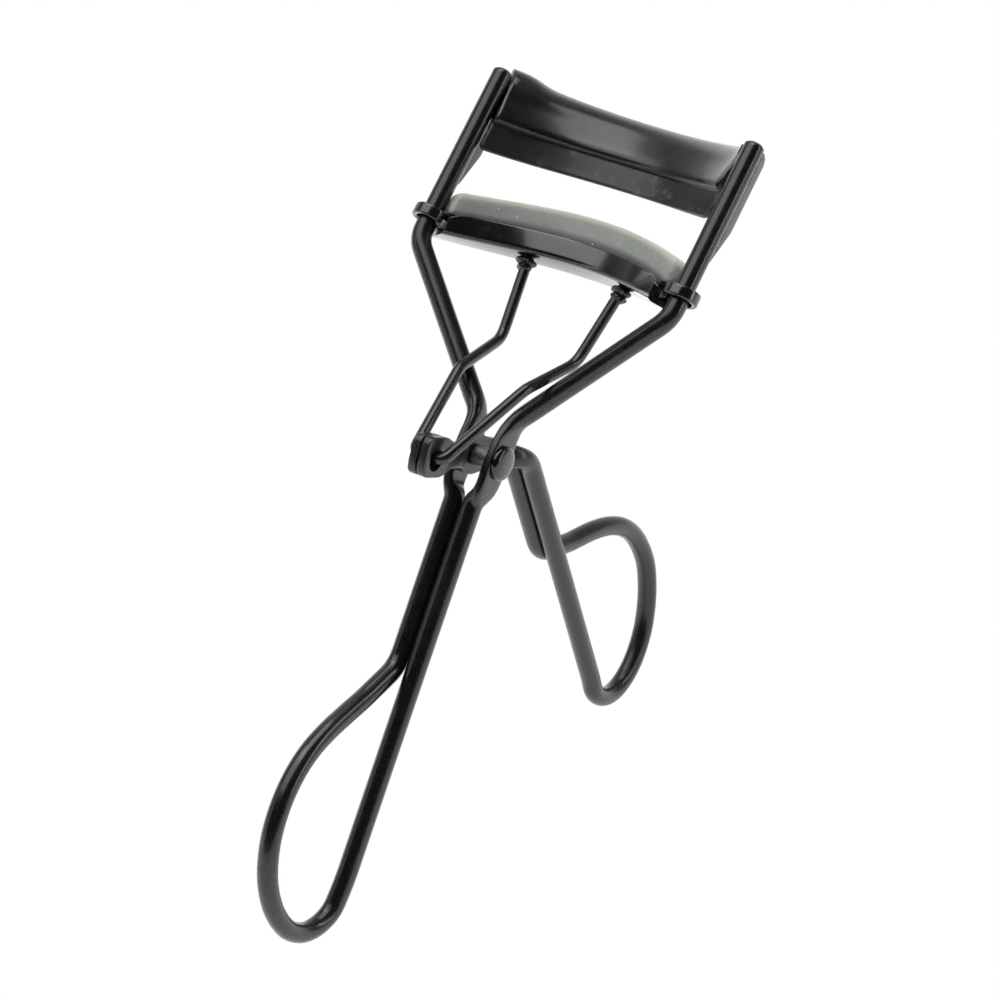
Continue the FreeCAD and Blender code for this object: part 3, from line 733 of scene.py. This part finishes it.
def build_hinge():
    left_head = [(-x, r) for x, r in rivet_head(radius=1.75, height=0.55, land=0.14)][::-1]
    right_head = rivet_head(radius=2.15, height=0.98, land=0.42)
    shank = [(-SHANK_HALF, SHANK_R), (SHANK_HALF, SHANK_R)]
    add_turned("hinge_rivet_skin", left_head + shank + right_head, RIVET_LACQUER,
               "hinge_rivet", sharp=60)
    # the spacer fills from the right strap to the right ear
    start, end = STRAP_LEFT + 2 * STRAP_AT_HINGE + STRAP_SEAM + 0.02, 1.68
    bore, shoulder, outer, chamfer = 1.12, 1.20, 1.275, 0.08
    add_turned("hinge_spacer_skin",
               [(start, bore), (start, shoulder), (start + chamfer, outer),
                (end - chamfer, outer), (end, shoulder), (end, bore)],
               STEEL, "hinge_spacer", closed=True, sharp=40)


build_hinge()

# ------------------------------------------------------------------------ upper jaw
JAW_R = 22.3                    # both jaws follow this arc in plan
JAW_CENTRE = vec(0, 7.55 - JAW_R, 0)
SHEET_STEP = 0.12


def on_arc(section, x):
    """Place (distance outside the jaw arc, z) pairs on the arc at x."""
    share = x / JAW_R
    outward = vec(share, math.sqrt(1 - share * share), 0)
    return to_cad(JAW_CENTRE + np.outer(JAW_R + section[:, 0], outward)
                  + np.outer(section[:, 1], (0, 0, 1)))


def sheet_profile(line, thickness):
    """Closed outline of a bent sheet with rounded edges, from its centre line."""
    along = tangents(line)
    normal = np.stack([-along[:, 1], along[:, 0]], 1)
    half = thickness / 2

    def cap(centre, outward, side):
        angles = [math.pi * i / 6 for i in range(1, 6)]
        return [centre + side * half * math.cos(a) + outward * half * math.sin(a) * 0.75
                for a in angles]

    return np.vstack([line + normal * half, cap(line[-1], along[-1], normal[-1]),
                      (line - normal * half)[::-1], cap(line[0], -along[0], -normal[0])])


def crease_z(x):
    """Height of the crease where the panel meets the lip."""
    return 16.1 - 0.0078 * x * x


def build_panel():
    rings = []
    for x in np.linspace(-16.42, 16.42, 141):
        crease = crease_z(x)
        # the left end of the top edge swells a little
        top = 22.85 - 0.0052 * x * x + 0.35 * math.exp(-((x + 14.6) / 1.6) ** 2)
        # the outward roll of the top edge flattens towards the ends
        flat = min(1.0, max(0.0, (abs(x) - 12.4) / 3.8))
        flat = flat * flat * (3 - 2 * flat)
        if x < 0:
            flat *= 0.6
        else:
            top -= 0.55 * flat
        # distance outside the arc, z
        points = [
            (0.34, crease - 0.7), (0.30, crease - 0.2), (-0.12, crease + 0.02),
            (-0.52, crease + 0.14), (-0.66, crease + 0.50), (-0.60, crease + 1.1),
            (-0.42, crease + 2.0), (-0.14, crease + 3.1), (0.25 - 0.12 * flat, top - 2.5),
            (0.90 - 0.42 * flat, top - 1.55), (1.80 - 1.02 * flat, top - 0.78),
            (2.90 - 1.80 * flat, top - 0.24), (3.70 - 2.50 * flat, top - 0.06)]
        line = soft(even(hermite(points, SHEET_STEP), SHEET_STEP), 1.2)
        line = resample(even(line, SHEET_STEP * 1.4), 46)
        rings.append(on_arc(sheet_profile(line, 0.62), x))
    add_skin("jaw_panel", rings, JAW_LACQUER, "frame", "upper_jaw_plate")


def build_lip():
    left_end, right_end = -16.38, 16.02
    rings = []
    for x in np.linspace(left_end, right_end, 141):
        crease = crease_z(x)
        edge = 12.75 - 0.0098 * x * x
        edge += round_off(right_end - x, 1.9) + round_off(x - left_end, 0.5)
        z = np.linspace(edge + 0.26, crease - 0.1, 20)
        out = 0.28 + 0.10 * np.cos((z - edge) / (crease - edge) * math.pi)
        rings.append(on_arc(sheet_profile(np.stack([out, z], 1), 0.66), x))
    add_skin("jaw_lip", rings, LIP_LACQUER, "frame", "upper_jaw_plate")


FLANGE = [(1.0, 5.5), (1.75, 5.3), (3.30, 10.2), (3.30, 19.3),      # y, z
          (2.95, 20.1), (2.2, 20.45), (1.0, 20.45)]
WEB = [(15.9, 0.70), (16.0, 1.45), (17.3, 2.35), (18.3, 2.45),      # |x|, y
       (18.3, 1.35), (17.0, 1.15), (16.55, 0.55)]
WEB_FOOT_Z, WEB_HEIGHT = 14.6, 5.75
WELDS = [(7.4, 0.8), (9.0, 0.9), (10.8, 0.8), (16.4, 0.9), (18.0, 1.0),     # z, half length
         (19.4, 0.7)]


def build_jaw_side(side, sign):
    """Flange on the rail, the web joining it to the panel, and the weld beads."""
    flange_x = sign * RAIL_X
    add_plate("jaw_flange_" + side, [(flange_x, y, z) for y, z in FLANGE],
              (-0.52, 0, 0), (0.52, 0, 0), JAW_LACQUER, "frame", 0.16,
              "upper_jaw_plate")
    add_plate("jaw_web_" + side, [(sign * x, y, WEB_FOOT_Z) for x, y in WEB],
              (0, 0, 0), (0, 0, WEB_HEIGHT), JAW_LACQUER, "frame", 0.14,
              "upper_jaw_plate")
    for k, (z, half_length) in enumerate(WELDS):
        add_lump(f"weld_{side}_{k}",
                 vec(flange_x + sign * 0.32, 1.42 + 0.08 * math.sin(k * 2.1), z),
                 vec(0.42, 0.42, half_length), WELD, "frame",
                 seed=k + (10 if sign > 0 else 0), amp=0.35, freq=1.6, segments=28)


build_panel()
build_lip()
for side, sign in SIDES:
    build_jaw_side(side, sign)

# ------------------------------------------------------------ lower channel and pad
CHANNEL_HALF, CHANNEL_WALL = 2.30, 0.60
TAB = [(15.0, -0.15, -1.36), (16.75, -0.75, -1.00), (16.50, 0.1, -1.00),    # |x|, y, z
       (16.80, 1.25, -1.00), (16.3, 1.80, -1.00), (15.0, 1.8, -1.36)]


def channel_base_z(x):
    return 1.30 - 0.0126 * x * x


def build_trough():
    """U-shaped channel, open to the top, following the jaw arc."""
    end = 16.35
    half, wall = CHANNEL_HALF, CHANNEL_WALL
    rings = []
    for x in np.linspace(-end, end, 151):
        base = channel_base_z(x)
        # the walls drop at the ends
        drop = max(0, 1.6 - (end - abs(x))) ** 2 * 0.26
        inner_top = 4.28 - 0.0126 * x * x - drop
        outer_top = 4.20 - 0.0132 * x * x - drop
        points = [(-half, inner_top), (-half, base), (half, base), (half, outer_top),
                  (half - wall, outer_top), (half - wall, base + wall),
                  (-half + wall, base + wall), (-half + wall, inner_top)]
        radii = [0.28, 0.75, 0.75, 0.28, 0.28, 0.3, 0.3, 0.28]
        rings.append(on_arc(rounded_poly(points, radii, 6), x))
    add_skin("channel_trough", rings, CHANNEL_LACQUER, "lower_jaw",
             "lower_jaw_channel", sharp=60)


def build_channel_end(side, sign):
    """Slightly uneven guide eyelet round the rail, and the tab that carries it."""
    bore, outer, half_height = 1.54, 2.22, 0.74
    profile = rounded_poly([(bore, -half_height), (outer, -half_height),
                            (outer, half_height), (bore, half_height)], 0.26, 5)
    rings = []
    for angle in np.linspace(0, 2 * np.pi, 72, endpoint=False):
        radius = profile[:, 0] * (1 + 0.012 * math.sin(3 * angle + sign))
        lift = 0.05 * math.sin(angle * 2 + 1.3 * sign)
        rings.append(to_cad(np.stack([sign * RAIL_X + radius * math.cos(angle),
                                      radius * math.sin(angle), profile[:, 1] + lift], 1)))
    add_skin("guide_eyelet_" + side, rings, CHANNEL_LACQUER, "lower_jaw",
             "lower_jaw_channel", closed=True)
    add_plate("channel_tab_" + side, [(sign * x, y, z) for x, y, z in TAB][::sign],
              (0, 0, 0), (0, 0, 1.15), CHANNEL_LACQUER, "lower_jaw", 0.28,
              "lower_jaw_channel")


def build_pad():
    """Silicone strip in the channel; point attribute "crest" rises towards its top."""
    end = 16.45
    rings, crest = [], []
    for x in np.linspace(-end, end, 181):
        to_end = end - abs(x)
        top = 8.12 - 0.0155 * x * x
        top -= round_off(to_end, 0.75 if x < 0 else 1.9) * 0.62
        half = 1.50 - 0.5 * round_off(to_end, 0.6)
        base = channel_base_z(x) + 0.63
        if abs(x) > 14.55:          # undercut over the tab
            base = max(base, -0.12)
        if abs(x) > 15.6:
            base = max(base, 0.88)
        points = [(-half, base), (half, base), (half, top - 0.85), (half - 0.55, top - 0.08),
                  (0.25, top), (-0.35, top), (-half + 0.50, top - 0.10),
                  (-half + 0.02, top - 0.85)]
        section = rounded_poly(points, [0.2, 0.2, 0.5, 0.4, 0.3, 0.3, 0.4, 0.5], 6)
        # faint moulding waviness
        wave = (0.035 * noise.noise(Vector((x * 0.35, 2.0, 0.0)))
                + 0.018 * noise.noise(Vector((x * 1.3, 5.0, 0.0))))
        section = section + np.stack([np.where(section[:, 0] < 0, -wave, wave),
                                      0.5 * wave * (section[:, 1] > top - 1.2)], 1)
        rings.append(on_arc(section, x))
        crest += list((section[:, 1] - (2.83 - 0.0150 * x * x)) / 5.33)
    obj = add_skin("silicone_lash_pad", rings, SILICONE, "lower_jaw", "lash_pad")
    crest += [0.7, 0.7]             # the centres of the end caps
    # the values fit only if add_skin merged no points
    if len(obj.data.vertices) == len(crest):
        attribute = obj.data.attributes.new("crest", "FLOAT", "POINT")
        attribute.data.foreach_set("value", np.array(crest, dtype=np.float32))


build_trough()
for side, sign in SIDES:
    build_channel_end(side, sign)
build_pad()

# ------------------------------------------------------------------------ push rods
ROD_R = 0.70
ROD_END_R = 0.35                # rounding of the tip


def build_rod(side, sign, strap_face, tip_x, collar_seeds):
    """Rod from the channel to the hook hole, with two lumpy collars near its top."""
    hook_x = sign * (strap_face + ROD_R + 0.16)
    path = bent([(sign * 6.89, 6.49, 0.86), (sign * 5.43, 6.86, -9.89),
                 (sign * 4.74, 0.14, -16.78), (hook_x, *HOOK[1:]), (tip_x, *HOOK[1:])],
                [3.2, 3.4, 0.95], 0.2)
    path = soft(even(path, 0.2), 1.5)
    along = lengths(path)
    tangent = tangents(path)
    u = unit(np.cross(tangent[0], (0, 1, 0.3)))
    rings = []
    for i in range(len(path)):
        u = unit(u - tangent[i] * (u @ tangent[i]))
        v = np.cross(tangent[i], u)
        radius = ROD_R - round_off(along[-1] - along[i], ROD_END_R)
        q = superellipse(radius, radius, 2.0, 28)
        rings.append(to_cad(path[i] + q[:, :1] * u + q[:, 1:] * v))
    body = "rod_" + side
    add_skin("push_rod_skin_" + side, rings, ROD_LACQUER, body,
             "push_rod_" + side)
    upper_seed, lower_seed = collar_seeds
    add_lump("rod_collar_" + side, vec(sign * 6.86, 6.50, 0.10), vec(1.24, 1.20, 0.60),
             ROD_LACQUER, body, seed=upper_seed, amp=0.22, freq=0.9)
    add_lump("rod_collar_low_" + side, vec(sign * 6.80, 6.53, -0.66), vec(1.00, 0.98, 0.62),
             ROD_LACQUER, body, seed=lower_seed, amp=0.24, freq=1.2)


build_rod("right", 1, strap_face=0.80, tip_x=-0.35, collar_seeds=(4, 6))
build_rod("left", -1, strap_face=-STRAP_LEFT, tip_x=-0.50, collar_seeds=(2, 9))

# ----------------------------------------------------- camera, lights, world (metres)
CAM_RIGHT = Vector((0.82016420, 0.37160039, 0.43502164))
CAM_UP = Vector((-0.29534519, -0.37621927, 0.87819717))
CAM_FORWARD = Vector((-0.49000194, 0.84874744, 0.19881119))
STANDING_UP = Vector((-0.02, -0.74, 0.67)).normalized()    # upright when stood on its loops
AIM = Vector((0, 0.005, 0.0))


def build_camera():
    camera = bpy.data.cameras.new("camera")
    obj = bpy.data.objects.new("camera", camera)
    bpy.context.scene.collection.objects.link(obj)
    pose = Matrix((CAM_RIGHT, CAM_UP, -CAM_FORWARD)).transposed().to_4x4()
    pose.translation = (0.22480, -0.38070, -0.09342)
    obj.matrix_world = pose
    camera.sensor_width = 36.0
    camera.lens = 136.8
    camera.clip_start = 0.01
    bpy.context.scene.camera = obj


def add_area(name, offset, width, height, power):
    """Rectangular light at an offset from AIM, pointed at it."""
    light = bpy.data.lights.new(name, "AREA")
    light.shape = "RECTANGLE"
    light.size = width
    light.size_y = height
    light.energy = power
    obj = bpy.data.objects.new(name, light)
    bpy.context.scene.collection.objects.link(obj)
    place = AIM + offset
    obj.location = place
    obj.rotation_euler = (AIM - place).normalized().to_track_quat("-Z", "Y").to_euler()


def build_world():
    """White to the camera; to other rays, brighter ahead of the camera than behind it."""
    world = bpy.data.worlds.new("studio")
    bpy.context.scene.world = world
    n = Nodes(world)
    output = n.add("OutputWorld")
    lighting = n.add("Background")
    backdrop = n.add("Background")
    switch = n.add("MixShader")
    ray = n.add("LightPath")
    direction = n.add("TexCoord")
    ahead = n.add("VectorMath")
    ahead.operation = "DOT_PRODUCT"
    ahead.inputs[1].default_value = tuple(CAM_FORWARD)
    n.feed(ahead.inputs[0], direction.outputs["Generated"])
    share = n.math("ADD", n.times(ahead.outputs["Value"], 0.5), 0.5)    # 0 behind, 1 ahead
    n.feed(lighting.inputs[0], n.ramp(share, (0.0, 0.02), (0.35, 0.05), (0.50, 0.15),
                                      (0.65, 0.50), (0.78, 0.95), (1.0, 1.0)))
    lighting.inputs["Strength"].default_value = 0.8
    backdrop.inputs["Color"].default_value = rgba(1)
    n.feed(switch.inputs[0], ray.outputs["Is Camera Ray"])
    n.feed(switch.inputs[1], lighting.outputs[0])
    n.feed(switch.inputs[2], backdrop.outputs[0])
    n.feed(output.inputs[0], switch.outputs[0])


build_camera()
add_area("key", -CAM_FORWARD * 0.30 + CAM_UP * 0.42 - CAM_RIGHT * 0.26,
         width=0.62, height=0.42, power=1.75)
add_area("fill_right", -CAM_FORWARD * 0.18 + CAM_RIGHT * 0.52 + CAM_UP * 0.10,
         width=0.10, height=0.5, power=0.70)
add_area("strip_left", -CAM_FORWARD * 0.12 - CAM_RIGHT * 0.50 + CAM_UP * 0.02,
         width=0.06, height=0.5, power=0.22)
add_area("top", STANDING_UP * 0.60 + CAM_FORWARD * 0.1, width=0.40, height=0.40, power=1.6)
build_world()


# ---------------------------------------------------------------------------- stage
def glowing_white(name, camera_only):
    """Pale glowing sheet, clear from behind; camera_only also clears it for other rays."""
    material = bpy.data.materials.new(name)
    n = Nodes(material)
    output = n.add("OutputMaterial")
    glow = n.add("Emission")
    glow.inputs["Strength"].default_value = 0.88
    diffuse = n.add("BsdfDiffuse")
    diffuse.inputs["Color"].default_value = (0.42, 0.42, 0.43, 1)
    both = n.add("AddShader")
    n.feed(both.inputs[0], glow.outputs[0])
    n.feed(both.inputs[1], diffuse.outputs[0])
    clear = n.add("BsdfTransparent")
    switch = n.add("MixShader")
    hidden = n.add("NewGeometry").outputs["Backfacing"]
    if camera_only:
        is_camera = n.add("LightPath").outputs["Is Camera Ray"]
        hidden = n.math("MAXIMUM", hidden, n.math("SUBTRACT", 1.0, is_camera))
    n.feed(switch.inputs[0], hidden)
    n.feed(switch.inputs[1], both.outputs[0])
    n.feed(switch.inputs[2], clear.outputs[0])
    n.feed(output.inputs[0], switch.outputs[0])
    return material


def add_sheet(name, material):
    half = 3.0
    mesh = bpy.data.meshes.new(name)
    mesh.from_pydata([(-half, -half, 0), (half, -half, 0), (half, half, 0),
                      (-half, half, 0)], [], [(0, 1, 2, 3)])
    mesh.materials.append(material)
    obj = bpy.data.objects.new(name, mesh)
    bpy.context.scene.collection.objects.link(obj)
    return obj


def build_bounce_card():
    """Card just below both loops' low points; lights the wires, unseen by the camera."""
    card = add_sheet("bounce_card", glowing_white("white_table", camera_only=False))
    frame_low = Vector(to_cad((0.8, 19.5, -86.0)))
    grip_low = Vector(to_cad((0.9, 60.5, -37.6)))
    slope = grip_low - frame_low
    slope.x = 0
    slope.normalize()
    across = Vector((1, 0, 0))
    normal = across.cross(slope)
    turn = Matrix((across, slope, normal)).transposed().to_4x4()
    card.matrix_world = Matrix.Translation(frame_low - normal * 0.0016) @ turn
    card.visible_camera = False


def build_floor():
    """Level floor under the lowest point, seen only from above."""
    floor = add_sheet("floor", glowing_white("pale_floor", camera_only=True))
    floor.location = (0.0, 0.0, CAD_BOX[0][2] - 0.0004)


build_bounce_card()
build_floor()

bpy.context.scene.view_settings.view_transform = "Standard"
bpy.context.scene.view_settings.look = "None"
